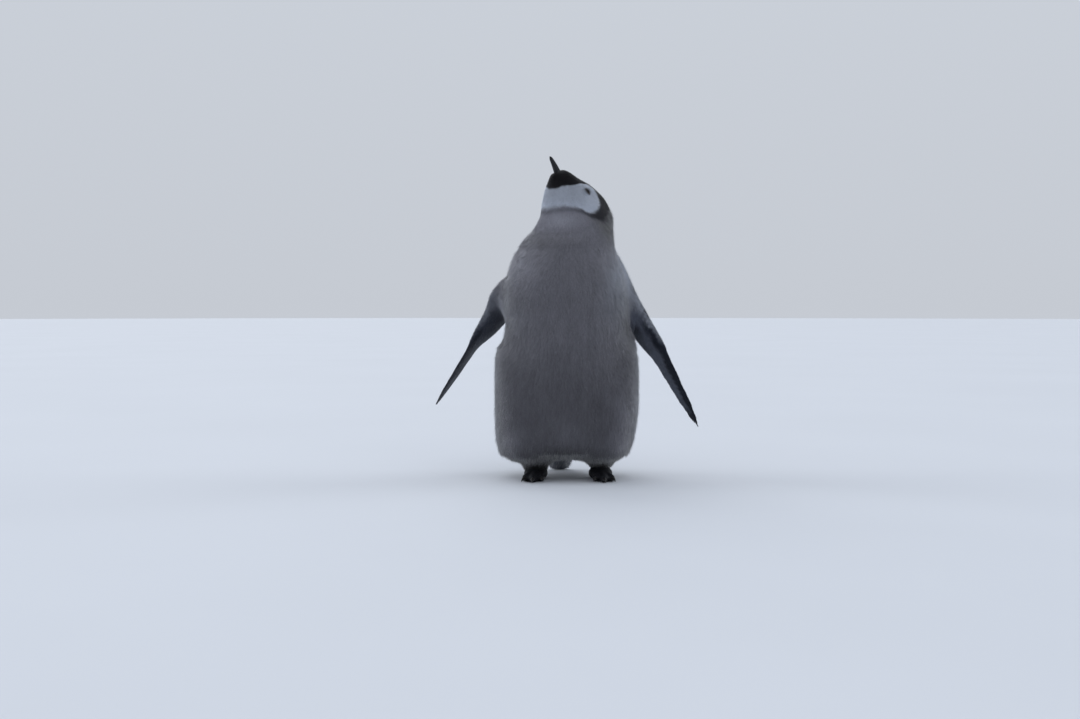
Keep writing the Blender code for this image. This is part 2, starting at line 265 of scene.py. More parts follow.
def eyeAim(mirror):
    # which way an eye looks, the long way of its opening and the way up it
    axis = unit(np.array((0.42, 0.88 * mirror, -0.16)) @ headAxes)
    long = unit(headAxes[0] - axis * (axis @ headAxes[0]))
    return axis, long, np.cross(axis, long) * -mirror


eyeAims = {side: eyeAim(mirror) for side, mirror in sides.items()}


def inHead(points):
    # ahead along the bill, aside to the bird's left and above to its crown, from the head's middle
    return (points - headCentre) @ headAxes.T


def roundHead(head):
    # how far round the head, from 0 at the throat to 180 at the crown
    return np.degrees(np.arctan2(np.abs(head[:, 1]), -head[:, 2]))


def fromHead(rows):
    return headCentre + rows @ headAxes


def fromEye(side, points):
    # the way from an eye's middle, and the part of it across the line that the eye looks along
    away = points - eyeMiddles[side]
    axis = eyeAims[side][0]
    return away, away - dot(away, axis) * axis


flipperPoses = {
    # shoulder, tip, and how far arm and blade turn from edge-on, in degrees
    "left": (np.array((0.0929, -0.0009, 0.381)), np.array((0.2399, -0.0009, 0.092)), 40, 40),
    "right": (np.array((-0.0751, 0.0051, 0.378)), np.array((-0.2401, 0.1221, 0.121)), 50, 20),
}
flipperReach = 0.324
twistPlaces = (0.110, 0.200)


def flipperParts(side):
    return "flipper_arm_" + side, "flipper_blade_" + side


def flipperSpan(side):
    shoulder, tip = flipperPoses[side][:2]
    return tip - shoulder


def flipperAims(side, along):
    # the ways across the flipper towards its leading edge, and out of its flat towards the body
    armTurn, bladeTurn = flipperPoses[side][2:]
    span = unit(flipperSpan(side))
    edge = np.array((0.0, -1.0, 0.0))
    edge = unit(edge - span * (edge @ span))
    flat = np.cross(span, edge) * sides[side]
    turn = np.radians(armTurn + (bladeTurn - armTurn) * ramp(along, *twistPlaces))[:, None]
    return edge * np.cos(turn) - flat * np.sin(turn), -flat * np.cos(turn) - edge * np.sin(turn)


def inFlipper(side, points):
    # along the flipper from its shoulder, across it and out of its flat
    span = flipperSpan(side)
    away = points - flipperPoses[side][0]
    along = away @ unit(span) * flipperReach / np.linalg.norm(span)
    across, inner = flipperAims(side, along)
    return along, (away * across).sum(1), (away * inner).sum(1)


def extents(along, values, steps, reach):
    # the least and greatest of the values near each step
    near = [values[np.abs(along - step) < reach] for step in steps]
    return np.array([part.min() for part in near]), np.array([part.max() for part in near])


def flipperEdges(side):
    # the leading and trailing edges at even steps along, measured on the solids
    points = np.concatenate([solidPoints(name) for name in flipperParts(side)])
    along, across = inFlipper(side, points)[:2]
    steps = np.linspace(0.03, 0.323, 23)
    trail, lead = extents(along, across, steps, 0.014)
    return steps, lead, trail


edgesOf = {side: flipperEdges(side) for side in sides}


# one skin over all the flesh, sunk by the depth of the coat

skinSettings = {
    "voxel": 2.6 * mm,
    "smoothRounds": 8,
    "depthRounds": 26,
    "fillRounds": 180,          # how widely hollows between the parts are looked for
    "fillTimes": 4,
    "fillMost": 9 * mm,         # and how far the coat fills them each time
    # depth of the coat over each part
    "belly": 9.5 * mm,
    "chest": 9 * mm,
    "thigh": 9.5 * mm,
    "neck": 7.5 * mm,
    "tail": 6 * mm,
    "leg": 5 * mm,
    "flipper_blade": 1.2 * mm,
    "foot": 0.0,
    # depth along the head, from the neck to the bill
    "headPlaces": (-60 * mm, -20 * mm, 0.0, 20 * mm, 45 * mm, 58 * mm, 66 * mm),
    "headDepths": (7.5 * mm, 6.5 * mm, 5.5 * mm, 4.6 * mm, 3.4 * mm, 2.6 * mm, 2.2 * mm),
    # depth along the upper flipper
    "armPlaces": (0.0, 0.06, 0.12, 0.166),
    "armDepths": (7.5 * mm, 6 * mm, 4 * mm, 1.8 * mm),
    # places where the coat stands fuller: middle, radius, rise and the way it swells
    "swells": (((-0.050, -0.014, 0.452), 0.030, 0.012, (-1, -0.25, 0.2)),
               ((-0.118, 0.020, 0.320), 0.026, 0.010, (-1, 0, 0.25)),
               ((-0.106, 0.020, 0.350), 0.020, 0.004, (-1, 0, 0.35)),
               ((-0.104, 0.072, 0.268), 0.025, -0.018, (-0.3, 0.2, -1)),
               ((0.080, -0.015, 0.034), 0.017, 0.007, (1, 0, 0)),
               ((0.047, -0.015, 0.034), 0.017, 0.005, (-1, 0, 0)),
               ((-0.035, -0.015, 0.028), 0.015, 0.005, (1, 0, 0)),
               ((-0.068, -0.015, 0.028), 0.015, 0.006, (-1, 0, 0)),
               ((0.088, 0.010, 0.433), 0.026, -0.008, (1, 0.2, 0.1)),
               ((0.117, 0.000, 0.250), 0.018, 0.009, (1, 0, 0.3))),
    # a place that is evened out, its radius and how widely
    "calm": ((-0.045, -0.060, 0.420), 0.045, 140),
    # the down runs further up the bill on the chin: how far, where and which way, in the head's own axes
    "chinRise": 8 * mm,
    "chinAt": (0.059, 0, -0.013),
    "chinReach": 12 * mm,
    "chinWay": (1.0, 0, -0.35),
    "tailTaper": 0.08,          # the tail narrows and is rounded towards the floor
    "tailRound": 14 * mm,
    "tailHalf": 22 * mm,
    "crownDrop": 3.2 * mm,      # the crown's sides lie this much flatter than the solid's
    "armShift": (-0.005, 0.0, 0.0075),      # the right upper flipper is held higher than the solid's
    "armShiftAt": (-0.112, 0.024, 0.312),
    "armShiftReach": 0.045,
    "flipperRounds": 9,
    "tipGrowth": (0.17, 0.33),  # where along the flippers they are drawn out
    "tipBlunt": 0.3185,         # past this the tip is shortened by the next share
    "tipShort": 0.7,
    "tipStretch": 8.5 * mm,     # evening the skin shortens the flippers' tips, so they are drawn out again
    # how much of a hollow is filled over each part
    "fillShares": {"belly": 0.9, "chest": 1.0, "thigh": 0.9, "neck": 1.0, "head": 0.7, "flipper_arm": 0.3},
}
partNames = ["belly", "chest", "neck", "head", "tail"]
partNames += [part + "_" + side for part in ("thigh", "leg", "flipper_arm", "flipper_blade", "foot")
              for side in sides]


def isPart(owner, *names):
    # which of the points belong to the named parts
    return np.isin(owner, [partNames.index(name) for name in names])


def gatherFlesh():
    # all the flesh and the eyes in one form, and which part each triangle came from
    form = bmesh.new()
    owners = []
    for name in partNames + ["eye_left", "eye_right"]:
        form.from_mesh(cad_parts[name].data)
        part = partNames.index(name) if name in partNames else partNames.index("head")
        owners += [part] * (len(form.faces) - len(owners))
    tree = BVHTree.FromBMesh(form)
    bmesh.ops.remove_doubles(form, verts=form.verts, dist=0.00002)
    return meshFromForm("flesh", form), tree, owners


def remeshed(mesh, voxel):
    # points and four-sided faces of one even skin round the mesh
    holder = linked("flesh", mesh)
    skin = holder.modifiers.new("skin", "REMESH")
    skin.mode = "VOXEL"
    skin.voxel_size = voxel
    made = holder.evaluated_get(bpy.context.evaluated_depsgraph_get()).to_mesh()
    points = np.empty(len(made.vertices) * 3)
    made.vertices.foreach_get("co", points)
    corners = np.empty(len(made.loops), int)
    made.loops.foreach_get("vertex_index", corners)
    bpy.data.objects.remove(holder, do_unlink=True)
    return points.reshape(-1, 3), corners.reshape(-1, 4)


def outerShell(points, quads):
    # keeps only the faces joined to the highest point
    label = np.arange(len(points))
    while True:
        low = label[quads].min(1)
        fresh = label.copy()
        np.minimum.at(fresh, quads.ravel(), np.repeat(low, 4))
        fresh = fresh[fresh]
        if (fresh == label).all():
            break
        label = fresh
    kept = label == label[points[:, 2].argmax()]
    index = np.cumsum(kept) - 1
    return points[kept], index[quads[kept[quads[:, 0]]]]


def edgesFrom(quads):
    pairs = np.concatenate([quads[:, [i, (i + 1) % 4]] for i in range(4)])
    return np.unique(np.sort(pairs, axis=1), axis=0)


def evened(values, edges, rounds, share=0.5):
    # each value moves towards the mean of its neighbours
    values = values.reshape(len(values), -1).astype(float)
    count = np.bincount(edges.ravel(), minlength=len(values))[:, None]
    for i in range(rounds):
        total = np.empty_like(values)
        for k in range(values.shape[1]):
            total[:, k] = (np.bincount(edges[:, 0], values[edges[:, 1], k], len(values))
                           + np.bincount(edges[:, 1], values[edges[:, 0], k], len(values)))
        values = values + (total / np.maximum(count, 1) - values) * share
    return values


def faceCross(points, quads):
    # each face's normal, twice as long as the face is large
    return np.cross(points[quads[:, 2]] - points[quads[:, 0]], points[quads[:, 3]] - points[quads[:, 1]])


def normalsOf(points, quads):
    diagonal = faceCross(points, quads)
    normals = np.zeros_like(points)
    for k in range(3):
        normals[:, k] = np.bincount(quads.ravel(), np.repeat(diagonal[:, k], 4), len(points))
    return unit(normals)


def softNormals(points, quads, edges):
    return unit(evened(normalsOf(points, quads), edges, 6))


def partKind(name):
    return name.rsplit("_", 1)[0] if name.endswith(("left", "right")) else name


def coatDepths(points, owner):
    depth = np.zeros(len(points))
    for name in partNames:
        part = partKind(name)
        mask = isPart(owner, name)
        if part == "head":
            ahead = inHead(points[mask])[:, 0]
            depth[mask] = np.interp(ahead, skinSettings["headPlaces"], skinSettings["headDepths"])
        elif part == "flipper_arm":
            along = inFlipper(name.rsplit("_", 1)[1], points[mask])[0]
            depth[mask] = np.interp(along, skinSettings["armPlaces"], skinSettings["armDepths"])
        else:
            depth[mask] = skinSettings[part]
    return depth


def filledHollows(outer, quads, edges, owner):
    # the coat bridges the hollows where neck, chest, thighs and flippers meet
    shares = np.array([skinSettings["fillShares"].get(partKind(name), 0) for name in partNames])[owner]
    share = evened(shares, edges, 20)[:, 0]
    for i in range(skinSettings["fillTimes"]):
        normals = softNormals(outer, quads, edges)
        wide = evened(outer, edges, skinSettings["fillRounds"])
        rise = np.clip(((wide - outer) * normals).sum(1), 0, skinSettings["fillMost"]) * share
        outer = outer + normals * evened(rise, edges, 10)
        soft = evened(outer, edges, 14)
        outer = outer + (soft - outer) * (ramp(rise, 0.3 * mm, 2 * mm) * share)[:, None]
    for middle, radius, rise, aim in skinSettings["swells"]:
        aim = unit(np.array(aim, float))
        near = nearTo(outer, middle, radius)
        facing = ramp(normalsOf(outer, quads) @ aim, -0.2, 0.7)
        outer = outer + aim * evened(near * facing * rise, edges, 10)
    middle, radius, rounds = skinSettings["calm"]
    near = nearTo(outer, middle, radius, 4)
    return outer + (evened(outer, edges, rounds) - outer) * near[:, None]


def evenedFlipper(outer, edges, owner, side):
    # the thin blade comes out of the remesh in steps: it is evened, then drawn out to its size again
    mask = isPart(owner, *flipperParts(side))
    soft = evened(outer, edges, skinSettings["flipperRounds"])[mask]
    before, after = inFlipper(side, outer[mask]), inFlipper(side, soft)
    aims = flipperAims(side, after[0])
    steps = np.linspace(0.10, 0.318, 20)
    shift = np.zeros_like(soft)
    for axis in (1, 2):
        sizes = extents(before[0], before[axis], steps, 0.011) + extents(after[0], after[axis], steps, 0.011)
        low, high, softLow, softHigh = [np.interp(after[0], steps, size) for size in sizes]
        share = (after[axis] - softLow) / (softHigh - softLow)
        shift += aims[axis - 1] * (low + share * (high - low) - after[axis])[:, None]
    shrunk = before[0].max() - after[0].max()
    shift += unit(flipperSpan(side)) * (ramp(after[0], *skinSettings["tipGrowth"]) * shrunk)[:, None]
    outer[mask] += (soft + shift - outer[mask]) * ramp(before[0], 0.10, 0.135)[:, None]


def reshaped(outer, quads, edges, owner):
    # the finer shape that the solids leave out: crown, chin, right upper flipper, tail and flipper tips
    values = skinSettings
    head = inHead(outer)
    turn = roundHead(head)
    onCrown = ramp(turn, 88, 108) * ramp(turn, 165, 135)
    onCrown *= ramp(head[:, 0], -0.055, -0.02) * ramp(head[:, 0], 0.06, 0.035)
    normals = softNormals(outer, quads, edges)
    outer = outer - normals * (onCrown * values["crownDrop"])[:, None]
    onChin = nearTo(head, values["chinAt"], values["chinReach"])
    outer = outer + np.array(values["chinWay"]) @ headAxes * (onChin * values["chinRise"])[:, None]
    held = evened(isPart(owner, "flipper_arm_right"), edges, 25)[:, 0]
    held *= nearTo(outer, values["armShiftAt"], values["armShiftReach"])
    outer = outer + held[:, None] * np.array(values["armShift"])
    low = ramp(outer[:, 2], 0.050, 0.004) * evened(isPart(owner, "tail"), edges, 12)[:, 0]
    aside = outer[:, 0] - nodeMiddle("tail")[0]
    outer[:, 0] -= aside * low * values["tailTaper"]
    outer[:, 2] += np.minimum(np.abs(aside / values["tailHalf"]) ** 3, 1.3) * low * values["tailRound"]
    for side in sides:
        evenedFlipper(outer, edges, owner, side)
        mask = isPart(owner, *flipperParts(side))
        along = inFlipper(side, outer[mask])[0]
        drawn = ramp(along, *values["tipGrowth"]) * values["tipStretch"]
        drawn -= np.maximum(along - values["tipBlunt"], 0) * values["tipShort"]
        outer[mask] += unit(flipperSpan(side)) * drawn[:, None]
    return outer


def makeSkinArrays():
    mesh, tree, owners = gatherFlesh()
    points, quads = outerShell(*remeshed(mesh, skinSettings["voxel"]))
    owner = np.array([owners[tree.find_nearest(Vector(p))[2]] for p in points])
    edges = edgesFrom(quads)
    depth = coatDepths(points, owner)
    depth = np.minimum(evened(depth, edges, skinSettings["depthRounds"])[:, 0], depth * 1.6 + 0.2 * mm)
    isFoot = isPart(owner, "foot_left", "foot_right")
    outer = np.where(isFoot[:, None], points, evened(points, edges, 4))
    outer = reshaped(filledHollows(outer, quads, edges, owner), quads, edges, owner)
    normals = softNormals(outer, quads, edges)
    sunk = outer - normals * depth[:, None]
    soft = evened(sunk, edges, skinSettings["smoothRounds"])
    weight = ramp(depth, 0.3 * mm, 2 * mm)[:, None]
    points = sunk + (soft - sunk) * weight
    points[:, 2] = np.maximum(points[:, 2], 0)
    return {"points": points, "outer": outer, "quads": quads, "edges": edges,
            "normals": normalsOf(points, quads), "depth": depth, "owner": owner}


skin = makeSkinArrays()
print("skin:", len(skin["points"]), "points,", len(skin["quads"]) * 2, "triangles")


# the bird's markings, worked out from where a point lies

markSettings = {
    # edge of the black face along the head, for steps round it from the throat to the crown
    "roundSteps": (0, 17, 35, 58, 74, 90, 105, 120, 129, 180),
    "faceEdge": (52, 51.5, 52.5, 50, 45.5, 41, 36, 30, 4, -60),
    # edge of the white cheek behind
    "cheekSteps": (0, 24, 35, 49, 59, 66, 74, 84, 95, 110, 125, 180),
    "cheekEdge": (24, 24, 21.5, 16, 7, -3, -8, -8, -4.5, 6, 15, 20),
    "faceSoft": 1.5,            # softness of the two edges, in mm
    "cheekSoft": (5.0, 4.0, 2.4, 2.4),
    # the black strap behind the cheek: its width in mm and its strength, from the throat to the crown
    "bandSteps": (0, 40, 60, 72, 82, 100, 180),
    "bandWide": (4.5, 4.5, 5, 7, 16, 28, 60),
    "strapSteps": (0, 45, 62, 74, 100, 125, 180),
    "strapTone": (0.22, 0.34, 0.66, 0.88, 0.94, 1, 1),
    "napeEnd": -64,             # where the black nape fades into grey
    "legDark": {"left": 50 * mm, "right": 36 * mm},     # how high the black of each leg reaches
    # painted shade over the low belly and over the hem, and strength of the streaks
    "lowShade": 0.33,
    "hemShade": 0.17,
    "streak": 0.022,
    # lighter and darker places on the front, most of them painted light and painted shade: middle across and
    # up, half width, half height, change
    "lightShadePatches": ((0.004, 0.100, 0.026, 0.024, 0.16),
                # painted shade under the hem between the legs, between the thighs and down the middle of the
                # low belly
                (-0.012, 0.056, 0.042, 0.016, -0.22),
                (-0.065, 0.203, 0.026, 0.055, -0.09),
                (0.053, 0.181, 0.026, 0.055, -0.09),
                (-0.006, 0.195, 0.070, 0.070, -0.20),
                (-0.010, 0.464, 0.046, 0.019, 0.95),
                # painted rim light high on the right side
                (-0.080, 0.390, 0.034, 0.036, 0.62),
                # painted shade by the root of the right flipper and lower on the right flank
                (-0.098, 0.305, 0.020, 0.022, -0.20),
                (-0.100, 0.200, 0.020, 0.030, -0.15),
                # painted rim light on the low corner of the right flank
                (-0.106, 0.080, 0.026, 0.028, 0.45),
                # painted light on the left shoulder
                (0.068, 0.400, 0.020, 0.020, 0.18),
                # painted shade round the left armpit and down the flank beside the flipper
                (0.104, 0.312, 0.024, 0.032, -0.24),
                (0.112, 0.282, 0.010, 0.028, -0.32),
                (0.108, 0.205, 0.022, 0.030, -0.25),
                # painted rim light on the low corners of the left flank
                (0.112, 0.110, 0.022, 0.040, 0.45),
                (0.098, 0.068, 0.024, 0.022, 0.40)),
    # the small dark spot on the breast, and how much lighter the breast is
    "spot": (0.056, -0.065, 0.410),
    "spotShade": 0.3,
    "spotSize": 6 * mm,
    "breastLift": 0.16,
}
flipperTones = {
    # where the grey starts and is full along the flipper and where its dark leading edge starts, in metres
    # from the shoulder, and how much painted shade darkens it underneath
    "left": {"slate": (0.050, 0.105), "margin": 0.075, "under": 0.0},
    "right": {"slate": (0.065, 0.150), "margin": 0.095, "under": 0.78},
}


def greyTone(points):
    # how light the grey is from place to place, 1 where it is plain; it carries painted shade over the low
    # belly and the hem, and painted light and shade on the front
    values = markSettings
    x, y, z = points.T
    front = ramp(-y, -0.02, 0.05)
    # painted shade over the low belly, strongest in front, and over the hem
    tone = 1 - values["lowShade"] * ramp(z, 0.24, 0.09) * (0.35 + 0.65 * front)
    tone -= values["hemShade"] * ramp(z, 0.085, 0.05)
    # lighter and darker places, most of them painted light and shade, on the front only
    for across, up, wide, tall, change in values["lightShadePatches"]:
        tone += change * np.exp(-((x - across) / wide) ** 2 - ((z - up) / tall) ** 2) * ramp(-y, -0.045, 0.02)
    streaks = waves(points * np.array((1, 1, 0.3)), 26 * mm, 41)
    streaks = streaks + waves(points * np.array((1, 1, 0.35)), 9 * mm, 42)
    tone += values["streak"] * streaks * ramp(inHead(points)[:, 0], -0.04, -0.09)
    tone -= values["spotShade"] * nearTo(points, values["spot"], values["spotSize"])
    return tone + values["breastLift"] * ramp(z, 0.33, 0.43)


def flipperMarks(side, points):
    # blue grey under the flipper, dark along its leading edge, at its tip and over its outer face, with
    # painted shade under the right flipper and in the armpit
    values = flipperTones[side]
    along, across, inner = inFlipper(side, points)
    steps, lead, trail = edgesOf[side]
    share = (across - np.interp(along, steps, trail)) / np.interp(along, steps, lead - trail)
    rough = waves(points, 30 * mm, 8) * 0.03 + waves(points, 7 * mm, 9) * 0.02
    slate = ramp(along + rough * 0.2, *values["slate"])
    outerFace = ramp(inner, -1.5 * mm, 2.5 * mm) * ramp(along, 0.01, 0.14) * 0.90
    start = np.interp(along, (0.10, 0.16, 0.20), (0.74, 0.60, 0.52))
    margin = ramp(share + rough - start, -0.03, 0.20)
    margin *= ramp(along, values["margin"], values["margin"] + 0.055)
    tipDark = ramp(along, 0.272, 0.306)
    # painted shade on the underside, on the right flipper only
    under = values["under"] * ramp(along, 0.03, 0.11)
    # painted shade in the armpit, at the flipper's inner base
    armpitShade = np.exp(-((along - 0.108) / 0.024) ** 2) * ramp(share, 0.80, 0.50) * 0.75
    # the navy also carries the painted shade of the right underside and of the armpit
    navy = np.maximum.reduce([margin, tipDark, outerFace, under, armpitShade])
    # the down along the edge is paler from the shoulder to the wrist: a pale fringe with painted rim light
    # from behind
    paleRimLight = ramp(share + rough, 0.86, 1.0) * ramp(along, 0.20, 0.12)
    if side == "right":
        paleRimLight *= ramp(along, 0.05, 0.11) * 0.6
    olive = (1 - margin) * np.exp(-((along - 0.125) / 0.04) ** 2) * ramp(share, 0.75, 0.25) * 0.55
    return slate * (1 - paleRimLight * 0.9), navy * (1 - paleRimLight * 0.9), olive, paleRimLight


def markingsAt(points, owner):
    values = markSettings
    head = inHead(points) / mm
    ahead = head[:, 0]
    turn = roundHead(head)
    wander = waves(points, 22 * mm, 5) * 0.5 + waves(points, 5 * mm, 6) * 0.25
    nearHead = ramp(ahead, -95, -70)
    faceEdge = np.interp(turn, values["roundSteps"], values["faceEdge"]) + wander
    cheekEdge = np.interp(turn, values["cheekSteps"], values["cheekEdge"]) + wander
    cheekSoft = np.interp(turn, (0, 50, 75, 180), values["cheekSoft"])
    face = ramp(ahead - faceEdge, -values["faceSoft"], values["faceSoft"])
    behind = ramp((cheekEdge - ahead) / cheekSoft, -1, 1)
    # black runs from the crown down behind the cheek, then thins into a line under the throat
    bandWide = np.interp(turn, values["bandSteps"], values["bandWide"])
    strap = behind * (1 - ramp(cheekEdge - ahead, bandWide, bandWide + 4 + bandWide * 0.5))
    strap *= np.interp(turn, values["strapSteps"], values["strapTone"])
    nape = behind * ramp(turn, 86, 112) * ramp(ahead, values["napeEnd"], values["napeEnd"] + 26)
    black = np.maximum.reduce([face, strap, nape]) * nearHead
    white = (1 - behind) * (1 - black) * nearHead
    olive = behind * ramp(turn, 55, 85) * (1 - black) * ramp(ahead, -80, -40) * nearHead * 0.85
    slate, navy, paleRimLight = np.zeros((3, len(points)))
    for side, dark in values["legDark"].items():
        mask = isPart(owner, *flipperParts(side))
        if mask.any():
            slate[mask], navy[mask], olive[mask], paleRimLight[mask] = flipperMarks(side, points[mask])
        # black from a height given for each leg downwards, over the leg's short down and over the lowest of
        # the down that hangs over it
        away = np.hypot(*(points - nodeMiddle("leg_" + side)).T[:2])
        black = np.maximum(black, ramp(away, 38 * mm, 25 * mm) * ramp(points[:, 2], dark + 10 * mm, dark))
        mask = isPart(owner, "leg_" + side, "foot_" + side)
        black[mask] = ramp(points[mask, 2], dark + 6 * mm, dark - 3 * mm)
    isTail = isPart(owner, "tail")
    slate[isTail] = ramp(points[isTail, 2], 0.055, 0.015)
    navy[isTail] = ramp(points[isTail, 2], 0.040, 0.0) * 0.45
    # the shoulders and the outermost sides are paler: partly a paler grey of the down, partly painted rim
    # light from behind
    wide = np.abs(points[:, 0])
    pale = ramp(points[:, 2], 0.25, 0.40) * ramp(wide, 0.045, 0.10) * ramp(ahead, -68, -118)
    pale *= (1 - slate) * (0.4 + 0.6 * ramp(points[:, 1], 0.07, -0.01))
    pale = np.maximum.reduce([pale, ramp(wide, 0.112, 0.132) * (1 - slate) * 0.35, paleRimLight])
    return {"white": white, "black": black, "olive": olive, "slate": slate, "navy": navy, "pale": pale,
            "tone": greyTone(points), "tip": np.full(len(points), 0.5)}


# shader groups that the materials share

def makeGroup(name, inputs, outputs):
    group = bpy.data.node_groups.new(name, "ShaderNodeTree")
    for label, kind, value in inputs:
        socket = group.interface.new_socket(label, in_out="INPUT", socket_type="NodeSocket" + kind)
        socket.default_value = value
    for label, kind in outputs:
        group.interface.new_socket(label, in_out="OUTPUT", socket_type="NodeSocket" + kind)
    return group, linkNode(group, "NodeGroupInput").outputs


def giveOut(group, results):
    linkNode(group, "NodeGroupOutput", results)
    return group


downColours = {
    "grey": (0.182, 0.180, 0.203),
    # pale: the shoulders' and sides' paler grey, which also carries their painted rim light
    "pale": (0.335, 0.355, 0.405),
    "white": (0.43, 0.46, 0.52),
    "black": (0.011, 0.010, 0.012),
    "olive": (0.092, 0.092, 0.088),
    "slate": (0.155, 0.170, 0.215),
    "navy": (0.017, 0.021, 0.033),
}
markOrder = ("pale", "olive", "slate", "navy", "white", "black")
mottleScales = {"broad": 34.0, "fine": 320.0}
tipMiddle = 0.6                 # the share along a tuft where its tone is plain


def makeDownGroup():
    # the bird's colours laid over each other by the markings, mottled, with paler tips
    inputs = [(name.capitalize() + " Share", "Float", 0.0) for name in markOrder]
    inputs += [(name.capitalize(), "Color", (*value, 1.0)) for name, value in downColours.items()]
    inputs += [(label, "Float", value) for label, value in (
        ("Tone", 1.0), ("Tip", 1.0), ("Tip Lift", 0.3), ("Mottle", 0.12))]
    group, given = makeGroup("downColours", inputs, [("Color", "Color")])
    both = maths(group, "ADD", *[noiseAt(group, scale, 2.0) for scale in mottleScales.values()])
    swing = maths(group, "MULTIPLY_ADD", maths(group, "SUBTRACT", both, 1.0), given["Mottle"], 1.0)
    lifted = maths(group, "SUBTRACT", given["Tip"], tipMiddle)
    lift = maths(group, "MULTIPLY_ADD", lifted, given["Tip Lift"], swing)
    result = given["Grey"]
    for label in [name.capitalize() for name in markOrder]:
        result = mixed(group, result, given[label], given[label + " Share"])
    return giveOut(group, {"Color": scaled(group, result, maths(group, "MULTIPLY", lift, given["Tone"]))})


def makeGrainGroup():
    # fine ridges and pits for horn, skin and scale, as a height from 0 to 1
    inputs = [("Vector", "Vector", (0, 0, 0)), ("Scale", "Float", 400.0), ("Cell Scale", "Float", 300.0),
              ("Cell Share", "Float", 0.5)]
    group, given = makeGroup("surfaceGrain", inputs, [("Height", "Float"), ("Mask", "Float")])
    place = given["Vector"]
    noise = linkNode(group, "ShaderNodeTexNoise", {"Vector": place, "Scale": given["Scale"], "Detail": 4.0})
    cells = linkNode(group, "ShaderNodeTexVoronoi", {"Vector": place, "Scale": given["Cell Scale"]},
                     feature="DISTANCE_TO_EDGE")
    steep = remapped(group, cells.outputs["Distance"], (0, 0.22), way="SMOOTHSTEP")
    height = mixed(group, noise.outputs["Fac"], steep, given["Cell Share"], "FLOAT")
    return giveOut(group, {"Height": height, "Mask": steep})


downGroup = makeDownGroup()
grainGroup = makeGrainGroup()


def grainAt(tree, scale, cellScale, cellShare):
    inputs = {"Vector": objectPlace(tree), "Scale": scale, "Cell Scale": cellScale, "Cell Share": cellShare}
    return linkNode(tree, "ShaderNodeGroup", inputs, node_tree=grainGroup).outputs


def addBump(shader, height, strength, distance):
    inputs = {"Height": height, "Strength": strength, "Distance": distance}
    feed(shader, "Normal", linkNode(shader.id_data, "ShaderNodeBump", inputs).outputs["Normal"])


def downColour(tree, settings=()):
    # the shared down colours, fed by the marks each mesh carries
    inputs = {name.capitalize() + " Share": markAt(tree, name) for name in markOrder}
    inputs.update(Tone=markAt(tree, "tone"), Tip=markAt(tree, "tip"))
    inputs.update(settings)
    return linkNode(tree, "ShaderNodeGroup", inputs, node_tree=downGroup).outputs["Color"]


def downMaterial(name, tipLift, mottle, roughness, sheen):
    material, tree, shader = makeMaterial(
        name, Roughness=roughness, Sheen_Weight=sheen, Sheen_Roughness=0.45, Specular_IOR_Level=0.18)
    feed(shader, "Base Color", downColour(tree, {"Tip Lift": tipLift, "Mottle": mottle}))
    return material


downMaterials = {
    # tip lift, mottle, roughness, sheen
    "body": downMaterial("silverDown", 0.36, 0.26, 0.95, 0.65),
    "head": downMaterial("faceDown", 0.24, 0.12, 0.9, 0.15),
    "flipper": downMaterial("flipperDown", 0.26, 0.30, 0.75, 0.25),
}


# meshes from arrays

def meshFromArrays(name, points, faceSets):
    # faceSets are arrays of corner indices, one array for each number of corners
    mesh = bpy.data.meshes.new(name)
    corners = np.concatenate([faces.ravel() for faces in faceSets])
    sizes = np.concatenate([np.full(len(faces), faces.shape[1]) for faces in faceSets])
    mesh.vertices.add(len(points))
    mesh.vertices.foreach_set("co", points.astype(np.float32).ravel())
    mesh.loops.add(len(corners))
    mesh.loops.foreach_set("vertex_index", corners.astype(np.int32))
    mesh.polygons.add(len(sizes))
    mesh.polygons.foreach_set("loop_start", (np.cumsum(sizes) - sizes).astype(np.int32))
    mesh.polygons.foreach_set("use_smooth", np.ones(len(sizes), bool))
    mesh.update(calc_edges=True)
    return mesh


def addMarks(mesh, marks):
    for name, values in marks.items():
        layer = mesh.attributes.new(name, "FLOAT", "POINT")
        layer.data.foreach_set("value", values.astype(np.float32))


def addPiece(name, mesh, material, replaced=()):
    piece = linked(name, mesh)
    mesh.materials.append(material)
    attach(piece, "root")
    if replaced:
        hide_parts(*replaced)


# the lie of the coat and the tufts that follow it

lieSettings = {
    "outward": 0.8,             # how much the breast's and shoulders' down also runs out from the neck
    "trailing": 0.22,           # how much a flipper's down leans to its trailing edge
    "thigh": (0.05, 0.06, -1.0),        # the thigh's down, outwards, back and up
    "tailFan": 14,              # how widely the tail's down fans out
    "rounds": 60,
}


